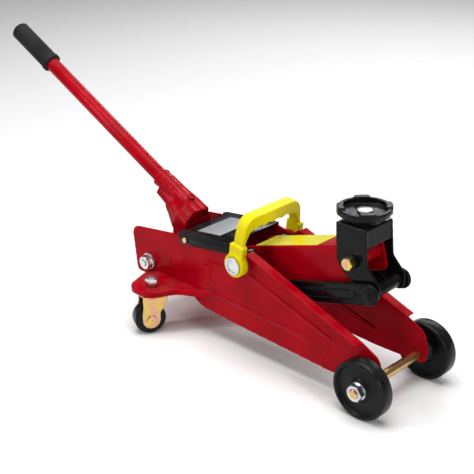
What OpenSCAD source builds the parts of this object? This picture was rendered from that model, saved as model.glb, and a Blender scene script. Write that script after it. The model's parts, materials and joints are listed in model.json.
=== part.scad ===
// Compact hydraulic floor jack. Two pressed side plates carry a lift arm, a pair of parallel links,
// a swivelling saddle, a rear hydraulic unit worked by a socketed handle, and four wheels.
// +X points to the saddle end, +Y to the jack's left, +Z up, and the floor is z = 0.
// The origin is below the middle of the whole jack, handle included.

/* [Frame plates] */
// Clear width between the two side plates
plate_gap = 85; // [76:1:110]
// Thickness of the side plates' steel
plate_t = 2.5; // [2:0.5:4]
// Height of the lift shaft above the floor
shaft_z = 126.2; // [115:0.2:150]
// Distance from the front axle back to the lift shaft
shaft_back = 206.5; // [170:0.5:260]
// Distance from the lift shaft back to the rear edge of the plates
rear_reach = 203.5; // [180:0.5:260]
// Width of the flange turned out along the front slope
flange_w = 11; // [4:0.5:16]
// Height of the plates' top rear corner above the floor
rear_top_z = 120; // [114:1:124]
// Height of the pressed ribs above the plate's outer face
rib_h = 1.2; // [0.6:0.1:2]

/* [Front wheels] */
// Diameter of a front wheel
wheel_d = 74; // [60:1:90]
// Width of a front wheel's tread
wheel_w = 19; // [12:1:26]
// Distance from a side plate to the front wheel's tread
wheel_gap = 8; // [4:0.5:16]
// Diameter of the front axle
axle_d = 12; // [10:1:16]
// Width across the flats of the axle nuts
axle_nut_af = 19; // [17:1:24]
// Height of the axle nuts
axle_nut_h = 8; // [5:0.5:12]

/* [Casters] */
// Diameter of a caster wheel
caster_d = 42; // [36:1:44]
// Width of a caster wheel
caster_w = 20; // [14:1:24]
// Distance from the plates' rear edge forward to the caster's swivel axis
caster_inset = 73; // [60:1:90]
// Distance from a side plate's outer face to the caster's swivel axis
caster_out = 33; // [30:0.5:45]
// Distance that the caster wheel trails behind its swivel axis
caster_trail = 6.5; // [0:0.5:9]
// Direction in which both caster wheels trail
caster_yaw = -116; // [-180:1:180]
// Height of the ear's top face above the floor
ear_z = 64; // [62:0.5:70]
// Distance from the swivel axis out to the ear's rim
ear_r = 20; // [18:0.5:30]
// Height of the lip turned down around the ear
ear_lip = 8.5; // [6:0.5:9]
// Diameter of the swivel bolt
caster_bolt_d = 10; // [8:1:12]

/* [Lift arm and links] */
// Distance from the lift shaft to the bracket bolt
arm_length = 163.9; // [140:0.1:200]
// Angle of the arm above horizontal at rest
arm_angle = 15; // [5:1:25]
// Outer width of the arm
arm_w = 44; // [36:1:46]
// Thickness of the arm's steel
arm_t = 3; // [2:0.5:5]
// Diameter of the lift shaft
shaft_d = 16; // [14:1:20]
// Diameter of the bracket bolt and of the link pins
pin_d = 10; // [8:1:12]
// Distance that the link pin sits ahead of the bracket bolt
link_ahead = 29; // [26:0.5:34]
// Distance that the link pin sits below the bracket bolt
link_below = 31; // [28:0.5:36]
// Height of a link bar
link_h = 25.8; // [20:0.2:26]
// Thickness of a link bar
link_t = 4; // [3:0.5:5]
// Distance from the lift shaft down to the thrust pin
thrust_drop = 40; // [36:0.5:44]
// Diameter of the thrust pin where the ram pushes it
thrust_d = 16; // [12:1:20]

/* [Saddle] */
// Outer width of the saddle bracket
bracket_w = 50.4; // [46:0.2:56]
// Thickness of the bracket's steel
bracket_t = 2.5; // [2:0.5:4]
// Height from the bracket bolt to the bracket's top face
bracket_h = 43.3; // [40:0.1:50]
// Diameter of the saddle's rim
saddle_d = 65; // [55:1:80]
// Height of the saddle up to its lugs
saddle_h = 18.4; // [15:0.2:26]
// Diameter of the saddle's pin
saddle_pin_d = 12; // [10:1:14]

/* [Hydraulic unit] */
// Diameter of the ram
ram_d = 22; // [16:1:24]
// Bore of the pressure cylinder
cylinder_bore = 28; // [26:1:32]
// Wall of the pressure cylinder
cylinder_wall = 3; // [2:0.5:4]
// Outer diameter of the oil reservoir
reservoir_d = 56; // [50:1:60]
// Wall of the oil reservoir
reservoir_wall = 2.5; // [1.5:0.5:4]
// Diameter of the pump plunger
plunger_d = 12; // [8:1:14]
// Diameter of the rear tie rod
tie_rod_d = 10; // [8:1:12]

/* [Handle] */
// Angle of the handle above horizontal at rest
handle_angle = 28; // [20:1:35]
// Outer diameter of the handle tube
handle_d = 20; // [16:1:22]
// Wall of the handle tube
handle_wall = 1.5; // [1:0.5:3]
// Distance from the socket's pivot to the far end of the grip, along the handle
handle_reach = 412; // [360:1:600]
// Outer diameter of the grip
grip_d = 26; // [24:1:32]
// Length of the grip
grip_length = 83; // [70:1:140]
// Height of the handle's axis above the socket's pivot
socket_rise = 34; // [32:0.5:40]
// Length of the socket that holds the handle
socket_length = 80; // [60:1:100]
// Wall of the socket around the handle
socket_wall = 2.7; // [2:0.1:3]

/* [Cover and carrying handle] */
// Length of the inset label on the cover
label_length = 42; // [30:1:50]
// Width of the inset label on the cover
label_width = 62; // [40:1:70]
// Radius from the lift shaft to the middle of the carrying bar
carry_r = 54.5; // [52:0.5:70]
// Angle by which the carrying handle leans forward at rest
carry_lean = 8; // [0:1:12]
// Thickness of the carrying handle's legs
carry_t = 5.5; // [4.5:0.5:9]
// Radius of the boss around the lift shaft's end
carry_boss_r = 15.5; // [14.5:0.5:18]
// Height of that boss above the leg's outer face
carry_boss_h = 6; // [3:0.5:8]

/* [Fits] */
// Radial clearance of a pin or shaft in its hole
fit = 0.05; // [0.02:0.01:0.1]
// Gap between faces that slide past each other
slide_gap = 0.3; // [0.2:0.05:0.6]

/* [Hidden] */
$fn = 64;

red = "#b8141c";
black = "#1c1c1e";
zinc = "#c9c9c4";
gold = "#c9a64a";
yellow = "#efd90f";

// Places along the jack, counted from the middle of its whole length
pivot_back = shaft_back + rear_reach - 68;
grip_tip_back = pivot_back + handle_reach * cos(handle_angle)
    - (socket_rise - grip_d / 2) * sin(handle_angle);
axle_x = (grip_tip_back - wheel_d / 2) / 2;
axle_z = wheel_d / 2;
shaft_x = axle_x - shaft_back;
rear_x = shaft_x - rear_reach;
tie_rod_x = rear_x + 33;
tie_rod_z = shaft_z - 49.2;
caster_x = rear_x + caster_inset;
pivot_x = axle_x - pivot_back;
pivot_z = shaft_z - 14.2;

// Places across the jack, counted from its middle plane
plate_in = plate_gap / 2;
plate_out = plate_in + plate_t;
wheel_in = plate_out + wheel_gap;
wheel_out = wheel_in + wheel_w;
hub_step = 2;
axle_washer_t = 1.3;
axle_nut_y = wheel_out - hub_step + slide_gap / 2 + axle_washer_t;
axle_end_y = axle_nut_y + axle_nut_h + 2;
carry_in = plate_out + rib_h + 1.3;
carry_out = carry_in + carry_t;
carry_boss_out = carry_out + carry_boss_h;
shaft_nut_y = carry_boss_out + slide_gap;
shaft_nut_h = 2.2;
tie_washer_t = 3;
tie_nut_h = 8;
tie_end_y = plate_out + tie_washer_t + tie_nut_h + 1;
caster_y = plate_out + caster_out;
ear_y = caster_y + ear_r;
link_in = bracket_w / 2 + 3;
link_out = link_in + link_t;
eye_out = link_out + 1.6;
circlip_t = 1;

// Places on the lift arm and the links, in the jack's frame at rest
bolt_x = shaft_x + arm_length * cos(arm_angle);
bolt_z = shaft_z + arm_length * sin(arm_angle);
link_pin_x = bolt_x + link_ahead;
link_pin_z = bolt_z - link_below;
stud_x = shaft_x + link_ahead;
stud_z = shaft_z - link_below;
thrust_x = shaft_x;
thrust_z = shaft_z - thrust_drop;
bracket_top = bolt_z + bracket_h;
bracket_back = -25.3;
bracket_front = 18.7;
saddle_x = bolt_x + (bracket_back + bracket_front) / 2;
saddle_z = bracket_top + slide_gap;

// Places of the hydraulic unit
cylinder_z = thrust_z + 3.4;
block_rear = rear_x + 18;
block_front = pivot_x + 14;
block_top = pivot_z - 28;
block_bottom = pivot_z - 56;
flange_x = block_front + 6;
ram_gap = 0.9;
ram_face = thrust_x - thrust_d / 2 - ram_gap;
ram_travel_back = 21;
gland_face = ram_face - 5 - ram_travel_back - 1.6;
gland_t = 12;
cylinder_end = gland_face - gland_t;
piston_l = 10;
piston_rear = flange_x + ram_travel_back + 4;
cam_back = 16;
cam_drop = 4;
cam_d = 8;
plunger_x = pivot_x - cam_back;
plunger_top = pivot_z - cam_drop - cam_d / 2 - 0.4;
plunger_head_t = 3;
barrel_top = block_top + 4;
valve_z = block_bottom + 9;

// Places on the cover, whose top rises towards the lift shaft
cover_front = shaft_x - 19.5;
cover_rear = pivot_x + 27;
cover_rear_z = shaft_z + 9.3;
cover_front_z = shaft_z + 20;
cover_tilt = atan2(cover_front_z - cover_rear_z, cover_front - cover_rear);
cover_t = 1.5;
cover_skirt = 14.5;
cover_out = plate_out + slide_gap + cover_t;

// ---------------------------------------------------------------- outlines

function unit(v) = v / norm(v);

// Points of the arc with radius r that rounds corner b between its neighbours a and c
function corner(a, b, c, r) =
    r == 0 ? [b] :
    let (u = unit(a - b), w = unit(c - b), half = acos(u * w) / 2,
         mid = b + unit(u + w) * r / sin(half),
         p = b + u * r / tan(half) - mid, q = b + w * r / tan(half) - mid,
         start = atan2(p.y, p.x),
         turn = (atan2(q.y, q.x) - start + 540) % 360 - 180,
         steps = max(2, ceil(abs(turn) / 12)))
    [for (i = [0:steps]) mid + r * [cos(start + turn * i / steps), sin(start + turn * i / steps)]];

// Closed outline through corners [x, y, radius], each rounded by its own radius
function rounded(corners) =
    let (n = len(corners), at = [for (k = corners) [k.x, k.y]])
    [for (i = [0:n - 1]) each corner(at[(i + n - 1) % n], at[i], at[(i + 1) % n], corners[i].z)];

// ---------------------------------------------------------------- shared shapes

module both_sides() {
    children();
    mirror([0, 1, 0]) children();
}

// Cylinder along Y, centred on its place
module rod_y(d, length) {
    rotate([90, 0, 0]) cylinder(d = d, h = length, center = true);
}

// Tube along Y on the right side, from distance from_y to distance to_y off the middle plane
module tube_y(od, id, from_y, to_y) {
    translate([0, -from_y, 0]) rotate([90, 0, 0]) difference() {
        cylinder(d = od, h = to_y - from_y);
        translate([0, 0, -1]) cylinder(d = id, h = to_y - from_y + 2);
    }
}

// Flat piece with an outline in the XZ plane, on the right side between two distances off the middle
module panel(points, from_y, to_y) {
    translate([0, -from_y, 0]) rotate([90, 0, 0])
        linear_extrude(to_y - from_y) polygon(points);
}

// Straight-sided bar in the XZ plane from point a to point b, on the right side of the jack
module bar(a, b, width, from_y, to_y) {
    side = unit([a.y - b.y, b.x - a.x]) * width / 2;
    panel([a - side, b - side, b + side, a + side], from_y, to_y);
}

// Hexagon nut standing on z = 0, with a chamfered crown
module nut(af, height, bore) {
    difference() {
        intersection() {
            cylinder(d = af / cos(30), h = height, $fn = 6);
            cylinder(r1 = af / 2 + height, r2 = af / 2 - 0.6, h = height + 0.6);
        }
        translate([0, 0, -1]) cylinder(d = bore, h = height + 2);
    }
}

// The same nut lying along Y on the right side, standing on distance from_y off the middle plane
module nut_y(af, height, bore, from_y) {
    translate([0, -from_y, 0]) rotate([90, 0, 0]) nut(af, height, bore);
}

// Circlip for a pin of diameter pin_d, lying along Y, with its gap turned to the rear
module circlip(from_y) {
    difference() {
        tube_y(pin_d + 7, pin_d + 2 * fit, from_y, from_y + circlip_t);
        translate([-pin_d - 4, -from_y - 3, -2]) cube([10, 6, 4]);
    }
}

// ---------------------------------------------------------------- side plates

flange_rear = [shaft_x + 19.5, shaft_z + 20.8];
flange_front = [axle_x - 16, axle_z + 46];
slope = unit(flange_front - flange_rear);
plate_outline = rounded([
    [rear_x, rear_top_z, 13], [shaft_x - 112, shaft_z + 5.8, 60],
    [shaft_x - 22, shaft_z + 18, 10],
    [shaft_x + 6, shaft_z + 12.5, 12], [flange_rear.x, flange_rear.y, 2],
    [flange_front.x, flange_front.y, 3], [axle_x + 9, axle_z + 33, 14],
    [axle_x + 15.5, axle_z + 10, 12], [axle_x + 12, axle_z - 9.5, 11],
    [axle_x - 57, axle_z - 10, 40], [shaft_x - 20.5, axle_z - 0.5, 60],
    [caster_x + 60, axle_z + 4, 30], [caster_x + 32, ear_z - ear_lip, 20],
    [rear_x + 7, ear_z - ear_lip, 8]]);

// Outline of the caster ear seen from above, drawn in by inset
function ear_outline(inset) = rounded([
    [caster_x - 43 + inset, -plate_in - 1, 0],
    [caster_x - 25 + inset, -ear_y + inset, 17 - inset],
    [caster_x + 14 - inset, -ear_y + inset, 17 - inset],
    [caster_x + 31 - inset, -plate_out - 19, 26 + inset],
    [caster_x + 72 - inset, -plate_out + 1, 0], [caster_x + 70, -plate_in - 1, 0]]);

module caster_ear() {
    translate([0, 0, ear_z - plate_t]) linear_extrude(plate_t) polygon(ear_outline(0));
    translate([0, 0, ear_z - ear_lip]) linear_extrude(ear_lip) difference() {
        polygon(ear_outline(0));
        polygon(ear_outline(plate_t));
    }
}

// Pressed ribs: two that close into a forward-pointing V, and a short one behind the shaft
module ribs() {
    from_y = plate_out - 0.5;
    to_y = plate_out + rib_h;
    bar([shaft_x + 14, shaft_z - 13.5], [axle_x - 61, axle_z + 33], 4, from_y, to_y);
    bar([shaft_x - 49, axle_z + 30], [axle_x - 91, axle_z + 23], 4, from_y, to_y);
    bar([shaft_x - 65, shaft_z - 19.5], [shaft_x - 29, shaft_z - 15], 4, from_y, to_y);
}

module side_plate() {
    difference() {
        union() {
            panel(plate_outline, plate_in, plate_out);
            bar(flange_rear + plate_t / 2 * [slope.y, -slope.x],
                flange_front + plate_t / 2 * [slope.y, -slope.x],
                plate_t, plate_in, plate_out + flange_w);
            translate([shaft_x, 0, shaft_z])
                tube_y(shaft_d + 14, shaft_d + 1, plate_out - 1, carry_in - slide_gap);
            ribs();
            caster_ear();
        }
        translate([shaft_x, 0, shaft_z]) rod_y(shaft_d + 2 * fit, 4 * plate_out);
        translate([axle_x, 0, axle_z]) rod_y(axle_d + 2 * fit, 4 * plate_out);
        translate([tie_rod_x, 0, tie_rod_z]) rod_y(tie_rod_d + 2 * fit, 4 * plate_out);
        translate([caster_x, -caster_y, ear_z - 20])
            cylinder(d = caster_bolt_d + 2 * fit, h = 40);
        cover_screw_holes();
    }
}

module side_plate_right() { color(red) side_plate(); }
module side_plate_left() { color(red) mirror([0, 1, 0]) side_plate(); }

// ---------------------------------------------------------------- front wheels

module at_axle() { translate([axle_x, 0, axle_z]) children(); }

module front_axle() { color(gold) at_axle() rod_y(axle_d, 2 * axle_end_y); }

module axle_washers() {
    color(zinc) at_axle() both_sides()
        tube_y(axle_d + 10, axle_d + 2 * fit, axle_nut_y - axle_washer_t, axle_nut_y);
}

module axle_nuts() {
    color(zinc) at_axle() both_sides()
        nut_y(axle_nut_af, axle_nut_h, axle_d + 2 * fit, axle_nut_y);
}

// Moulded wheel: a tread ring, a thinner web and a stepped hub that reaches the side plate
module front_wheel() {
    edge = 2;
    recess = 4;
    bore_r = axle_d / 2 + fit;
    hub_r = bore_r + 7;
    rim_r = wheel_d / 2 - 5;
    translate([0, -wheel_in, 0]) rotate([90, 0, 0]) rotate_extrude($fn = 96) polygon([
        [bore_r, slide_gap - wheel_gap], [bore_r + 3, slide_gap - wheel_gap], [hub_r, 0],
        [hub_r + 1, 3], [rim_r - 1, 3], [rim_r, 0], [wheel_d / 2 - edge, 0],
        [wheel_d / 2, edge], [wheel_d / 2, wheel_w - edge], [wheel_d / 2 - edge, wheel_w],
        [rim_r, wheel_w], [rim_r - 1, wheel_w - recess], [hub_r + 1, wheel_w - recess],
        [hub_r, wheel_w - hub_step], [bore_r, wheel_w - hub_step]]);
}

module front_wheel_right() { color(black) at_axle() front_wheel(); }
module front_wheel_left() { color(black) at_axle() mirror([0, 1, 0]) front_wheel(); }

// ---------------------------------------------------------------- shafts across the frame

module at_shaft() { translate([shaft_x, 0, shaft_z]) children(); }

module lift_shaft() {
    color(zinc) at_shaft() rod_y(shaft_d, 2 * (shaft_nut_y + shaft_nut_h - 0.5));
}

module shaft_spacers() {
    color(black) at_shaft() both_sides()
        tube_y(shaft_d + 8, shaft_d + 2 * fit, arm_w / 2 + slide_gap, plate_in);
}

// Round retaining nuts that stand just proud of the carrying handle's bosses
module shaft_nuts() {
    color(zinc) at_shaft() both_sides()
        tube_y(shaft_d + 7, shaft_d + 2 * fit, shaft_nut_y, shaft_nut_y + shaft_nut_h);
}

module rear_tie_rod() {
    color(zinc) translate([tie_rod_x, 0, tie_rod_z]) rod_y(tie_rod_d, 2 * tie_end_y);
}

// Nuts with a round flange that bears on the side plate
module tie_rod_nuts() {
    bore = tie_rod_d + 2 * fit;
    color(zinc) translate([tie_rod_x, 0, tie_rod_z]) both_sides() {
        tube_y(tie_rod_d + 12, bore, plate_out, plate_out + tie_washer_t);
        nut_y(tie_rod_d + 7, tie_nut_h, bore, plate_out + tie_washer_t);
    }
}

// ---------------------------------------------------------------- cover

cover_screw_x = cover_rear + 11;
cover_screw_z = cover_rear_z - 7;

module cover_screw_holes() {
    translate([cover_screw_x, 0, cover_screw_z]) rod_y(4 + 2 * fit, 4 * plate_out);
}

// Outline of one layer of the sloping cover, between two depths below its top
function cover_layer(from_depth, to_depth) = [
    [cover_rear, cover_rear_z - from_depth], [cover_front, cover_front_z - from_depth],
    [cover_front, cover_front_z - to_depth], [cover_rear, cover_rear_z - to_depth]];

label_mid = (cover_front - cover_rear) / 2 - 6;

module on_cover() {
    translate([cover_rear, 0, cover_rear_z]) rotate([0, -cover_tilt, 0]) children();
}

module cover_plate() {
    rim = 4;
    rim_h = 1;
    tab_r = 5.5;
    tab_t = 2.1;
    color(black) difference() {
        union() {
            translate([0, cover_out, 0]) panel(cover_layer(0, cover_t), 0, 2 * cover_out);
            both_sides() panel(cover_layer(0, cover_skirt), cover_out - cover_t, cover_out);
            on_cover() translate([label_mid, 0, 0]) difference() {
                translate([-label_length / 2 - rim, -label_width / 2 - rim, -0.5])
                    cube([label_length + 2 * rim, label_width + 2 * rim, rim_h + 0.5]);
                translate([-label_length / 2 - fit, -label_width / 2 - fit, 0])
                    cube([label_length + 2 * fit, label_width + 2 * fit, rim_h + 1]);
            }
            both_sides() translate([cover_rear, tab_r - cover_out, cover_rear_z - tab_t])
                cylinder(r = tab_r, h = tab_t);
        }
        cover_screw_holes();
    }
}

module cover_label() {
    color(zinc) on_cover() translate([label_mid - label_length / 2, -label_width / 2, 0])
        cube([label_length, label_width, 0.6]);
}

module cover_screws() {
    color(gold) translate([cover_screw_x, 0, cover_screw_z]) both_sides() {
        translate([0, -plate_in + 3, 0]) rotate([90, 0, 0])
            cylinder(d = 4, h = cover_out - plate_in + 3);
        translate([0, -cover_out, 0]) rotate([90, 0, 0]) cylinder(d = 7.5, h = 2.2);
    }
}

// ---------------------------------------------------------------- hydraulic unit

module rod_x(d, from_x, to_x) {
    translate([from_x, 0, 0]) rotate([0, 90, 0]) cylinder(d = d, h = to_x - from_x);
}

module at_cylinder() { translate([0, 0, cylinder_z]) children(); }

valve_spacing = 22;
lug_in = 12;
lug_out = 20;

// Cast block with a flange for the reservoir, a plunger barrel and two lugs for the socket
module pump_block() {
    color(red) difference() {
        union() {
            translate([block_rear, -plate_in + slide_gap, block_bottom])
                cube([block_front - block_rear, 2 * (plate_in - slide_gap), block_top - block_bottom]);
            at_cylinder() rod_x(reservoir_d + 4, block_front - 0.5, flange_x);
            translate([plunger_x, 0, block_bottom])
                cylinder(d = plunger_d + 9, h = barrel_top - block_bottom);
            both_sides() {
                panel([[pivot_x - 9, block_top - 1], [pivot_x + 9, block_top - 1],
                    [pivot_x + 9, pivot_z], [pivot_x - 9, pivot_z]], lug_in, lug_out);
                translate([pivot_x, 0, pivot_z]) tube_y(18, pin_d, lug_in, lug_out);
            }
        }
        translate([pivot_x, 0, pivot_z]) rod_y(pin_d + 2 * fit, 4 * lug_out);
        translate([tie_rod_x, 0, tie_rod_z]) rod_y(tie_rod_d + 2 * fit, 4 * plate_in);
        translate([plunger_x, 0, block_bottom + 4]) cylinder(d = plunger_d + 2 * fit, h = 60);
        translate([0, 0, valve_z]) rod_x(10 + 2 * fit, block_rear - 1, block_rear + 22);
        for (side = [-1, 1]) translate([0, side * valve_spacing, valve_z + 6])
            rod_x(8 + 2 * fit, block_rear - 1, block_rear + 8);
    }
}

module cylinder_tube() {
    color(zinc) at_cylinder() difference() {
        rod_x(cylinder_bore + 2 * cylinder_wall, flange_x, cylinder_end);
        rod_x(cylinder_bore, flange_x - 1, cylinder_end + 1);
    }
}

module reservoir_tube() {
    color(red) difference() {
        at_cylinder() rod_x(reservoir_d, flange_x, cylinder_end);
        at_cylinder() rod_x(reservoir_d - 2 * reservoir_wall, flange_x - 1, cylinder_end + 1);
        translate([filler_x, 0, cylinder_z]) cylinder(d = filler_d + 2 * fit, h = reservoir_d);
    }
}

// Ring nut that closes the cylinder and the reservoir, and guides the ram
module gland_nut() {
    color(zinc) at_cylinder() difference() {
        union() {
            rod_x(reservoir_d, cylinder_end, cylinder_end + gland_t / 2);
            translate([cylinder_end, 0, 0]) rotate([0, 90, 0])
                cylinder(d = (reservoir_d - 14) / cos(30), h = gland_t, $fn = 6);
        }
        rod_x(ram_d + 2 * fit, cylinder_end - 1, gland_face + 1);
    }
}

filler_x = flange_x + 18;
filler_d = 8;

module filler_plug() {
    top = cylinder_z + reservoir_d / 2;
    color(black) translate([filler_x, 0, 0]) {
        translate([0, 0, top - reservoir_wall - 1]) cylinder(d = filler_d, h = reservoir_wall + 2);
        translate([0, 0, top]) cylinder(d = filler_d + 5, h = 3);
    }
}

module valve_plugs() {
    color(zinc) for (side = [-1, 1]) translate([0, side * valve_spacing, valve_z + 6]) {
        rod_x(8, block_rear - 1, block_rear + 6);
        translate([block_rear, 0, 0]) rotate([0, -90, 0]) nut(13, 5, 3);
    }
}

// Ram with its flat pressure head in front and its piston at the rear
module ram() {
    groove = 2;
    color(zinc) at_cylinder() difference() {
        union() {
            rod_x(ram_d, piston_rear, ram_face - 4);
            rod_x(ram_d + 8, ram_face - 5, ram_face);
            rod_x(cylinder_bore - 2 * fit, piston_rear, piston_rear + piston_l);
        }
        difference() {
            rod_x(cylinder_bore + 2, piston_rear + 4, piston_rear + 6);
            rod_x(cylinder_bore - 2 * groove, piston_rear + 3, piston_rear + 7);
        }
    }
}

module piston_seal() {
    color(black) at_cylinder() difference() {
        rod_x(cylinder_bore - 2 * fit, piston_rear + 4.1, piston_rear + 5.9);
        rod_x(cylinder_bore - 3.9, piston_rear + 3, piston_rear + 7);
    }
}

module pump_plunger() {
    color(zinc) translate([plunger_x, 0, 0]) {
        translate([0, 0, plunger_top - 36]) cylinder(d = plunger_d, h = 35);
        translate([0, 0, plunger_top - plunger_head_t])
            cylinder(d = plunger_d + 5, h = plunger_head_t);
    }
}

// Round wire wound as a helix, one ring of points for every 24 degrees of turn
module coil_spring(mid_d, wire_d, height, turns) {
    sides = 8;
    steps = 15 * turns;
    points = [for (i = [0:steps], k = [0:sides - 1])
        let (a = 24 * i, b = 360 * k / sides, r = mid_d / 2 + wire_d / 2 * cos(b))
        [r * cos(a), r * sin(a), wire_d / 2 * (1 + sin(b)) + (height - wire_d) * i / steps]];
    walls = [for (i = [0:steps - 1], k = [0:sides - 1])
        let (n = (k + 1) % sides)
        [i * sides + k, (i + 1) * sides + k, (i + 1) * sides + n, i * sides + n]];
    start = [for (k = [0:sides - 1]) k];
    end = [for (k = [sides - 1:-1:0]) steps * sides + k];
    polyhedron(points, concat(walls, [start], [end]));
}

module plunger_spring() {
    wire = 1.4;
    gap = 0.2;
    color(zinc) translate([plunger_x, 0, barrel_top + gap])
        coil_spring(plunger_d + 3.2, wire, plunger_top - plunger_head_t - barrel_top - 2 * gap, 4);
}

// Release screw that stands out of the block's rear face, with a cross pin to turn it
module release_valve() {
    color(zinc) translate([0, 0, valve_z]) {
        rod_x(10, block_rear - 12, block_rear + 20);
        translate([block_rear - 8, 0, 0]) rod_y(4, 22);
    }
}

// ---------------------------------------------------------------- casters

module at_caster() { translate([caster_x, -caster_y, 0]) children(); }
module at_left_caster() { translate([caster_x, caster_y, 0]) children(); }
module trailing() { rotate([0, 0, caster_yaw]) children(); }

fork_top = ear_z - ear_lip - 0.5;
fork_t = 2.5;
fork_in = caster_w / 2 + 1.3;
caster_head_t = 4;
caster_axle_d = 8;

module caster_fork() {
    lobe = 12;
    wheel_z = caster_d / 2;
    difference() {
        union() {
            translate([0, 0, fork_top - fork_t]) cylinder(r = 18, h = fork_t);
            both_sides() panel(rounded([
                [-17, fork_top, 0], [17, fork_top, 0], [16.5, fork_top - 13, 8],
                [caster_trail + lobe, wheel_z + 9, 6],
                [caster_trail + lobe, wheel_z - lobe, lobe - 0.1],
                [caster_trail - lobe, wheel_z - lobe, lobe - 0.1],
                [caster_trail - lobe, wheel_z + 9, 6], [-15, fork_top - 13, 8]]),
                fork_in, fork_in + fork_t);
        }
        translate([0, 0, fork_top - 10]) cylinder(d = caster_bolt_d + 2 * fit, h = 20);
        translate([caster_trail, 0, wheel_z]) rod_y(caster_axle_d + 2 * fit, 4 * fork_in);
    }
}

module caster_axle() {
    head = 2;
    translate([caster_trail, 0, caster_d / 2]) {
        rod_y(caster_axle_d, 2 * (fork_in + fork_t + 1));
        both_sides() tube_y(caster_axle_d + 5, 2, fork_in + fork_t, fork_in + fork_t + head);
    }
}

module caster_wheel() {
    edge = 2.5;
    bore_r = caster_axle_d / 2 + fit;
    translate([caster_trail, 0, caster_d / 2]) rotate([90, 0, 0]) rotate_extrude() polygon([
        [bore_r, -caster_w / 2 - 0.8], [bore_r + 4, -caster_w / 2 - 0.8],
        [bore_r + 5, -caster_w / 2], [caster_d / 2 - edge, -caster_w / 2],
        [caster_d / 2, edge - caster_w / 2], [caster_d / 2, caster_w / 2 - edge],
        [caster_d / 2 - edge, caster_w / 2], [bore_r + 5, caster_w / 2],
        [bore_r + 4, caster_w / 2 + 0.8], [bore_r, caster_w / 2 + 0.8]]);
}

module caster_fork_right() { color(gold) at_caster() trailing() caster_fork(); }
module caster_fork_left() { color(gold) at_left_caster() trailing() caster_fork(); }
module caster_axle_right() { color(gold) at_caster() trailing() caster_axle(); }
module caster_axle_left() { color(gold) at_left_caster() trailing() caster_axle(); }
module caster_wheel_right() { color(black) at_caster() trailing() caster_wheel(); }
module caster_wheel_left() { color(black) at_left_caster() trailing() caster_wheel(); }

module caster_bolts() {
    color(zinc) both_sides() at_caster() {
        translate([0, 0, fork_top - fork_t - slide_gap - caster_head_t])
            cylinder(d = caster_bolt_d + 7, h = caster_head_t);
        translate([0, 0, fork_top - fork_t - slide_gap - 1])
            cylinder(d = caster_bolt_d, h = ear_z + 14 - fork_top + fork_t + slide_gap);
    }
}

module caster_races() {
    color(zinc) both_sides() at_caster() difference() {
        translate([0, 0, fork_top + slide_gap])
            cylinder(d = 26, h = ear_z - plate_t - fork_top - slide_gap);
        cylinder(d = caster_bolt_d + 2 * fit, h = 2 * ear_z);
    }
}

// Nuts on a short collar that stands on the ear
module caster_nuts() {
    collar_h = 5;
    bore = caster_bolt_d + 2 * fit;
    color(zinc) both_sides() at_caster() translate([0, 0, ear_z]) {
        difference() {
            cylinder(d = caster_bolt_d + 4, h = collar_h);
            translate([0, 0, -1]) cylinder(d = bore, h = collar_h + 2);
        }
        translate([0, 0, collar_h]) nut(caster_bolt_d + 6, 7, bore);
    }
}

// ---------------------------------------------------------------- lift arm

module on_arm() { at_shaft() rotate([0, -arm_angle, 0]) children(); }

// Place of the thrust pin in the arm's own frame, whose +X runs from the shaft to the bolt
thrust_on_arm = thrust_drop * [-sin(arm_angle), -cos(arm_angle)];
arm_top_rear = 14;
arm_top_front = 19;
arm_nose = 12;

// Height of the arm's top edge above the line from shaft to bolt, at distance x
function arm_top(x) = arm_top_rear + (arm_top_front - arm_top_rear) * x / (arm_length + arm_nose);

arm_outline = rounded([
    [-15, arm_top(-15), 12], [arm_length + arm_nose, arm_top_front, 5],
    [arm_length + arm_nose, -25, 8], [48, -31, 40],
    [thrust_on_arm.x + 20, thrust_on_arm.y + 1, 10],
    [thrust_on_arm.x + 9, thrust_on_arm.y - 11, 9],
    [thrust_on_arm.x - 11, thrust_on_arm.y - 11, 10]]);

// Channel of bent steel, open below and at both ends
module lift_arm() {
    arm_out = arm_w / 2;
    roof_from = shaft_d - 12;
    roof_to = arm_length + 7;
    hole = 2 * arm_out + 2;
    color(red) on_arm() difference() {
        union() {
            both_sides() panel(arm_outline, arm_out - arm_t, arm_out);
            translate([0, arm_out - 1, 0]) panel([
                [roof_from, arm_top(roof_from)], [roof_to, arm_top(roof_to)],
                [roof_to, arm_top(roof_to) - arm_t],
                [roof_from, arm_top(roof_from) - arm_t]], 0, 2 * (arm_out - 1));
            translate([0, arm_out - 1, 0]) panel([
                [95, -10], [98, -10], [98, arm_top(98) - 1], [95, arm_top(95) - 1]],
                0, 2 * (arm_out - 1));
        }
        rod_y(shaft_d + 2 * fit, hole);
        translate([arm_length, 0, 0]) rod_y(pin_d + 2 * fit, hole);
        translate([thrust_on_arm.x, 0, thrust_on_arm.y]) rod_y(pin_d + 2 * fit, hole);
    }
}

module arm_sleeves() {
    inside = arm_w - 2 * arm_t;
    color(red) on_arm() {
        difference() {
            rod_y(shaft_d + 5, inside);
            rod_y(shaft_d + 2 * fit, inside + 2);
        }
        translate([arm_length, 0, 0]) difference() {
            rod_y(pin_d + 6, inside);
            rod_y(pin_d + 2 * fit, inside + 2);
        }
    }
}

module thrust_pin() {
    color(zinc) on_arm() translate([thrust_on_arm.x, 0, thrust_on_arm.y]) {
        rod_y(thrust_d, arm_w - 2 * arm_t - 0.4);
        rod_y(pin_d, arm_w + 3);
    }
}

module arm_sticker() {
    sticker_t = 0.4;
    color(yellow) on_arm() translate([0, arm_w / 2 - 2, 0]) panel([
        [6, arm_top(6)], [110, arm_top(110)],
        [110, arm_top(110) + sticker_t], [6, arm_top(6) + sticker_t]], 0, arm_w - 4);
}

// ---------------------------------------------------------------- links

module on_link() {
    translate([stud_x, 0, stud_z]) rotate([0, -arm_angle, 0]) children();
}

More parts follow.
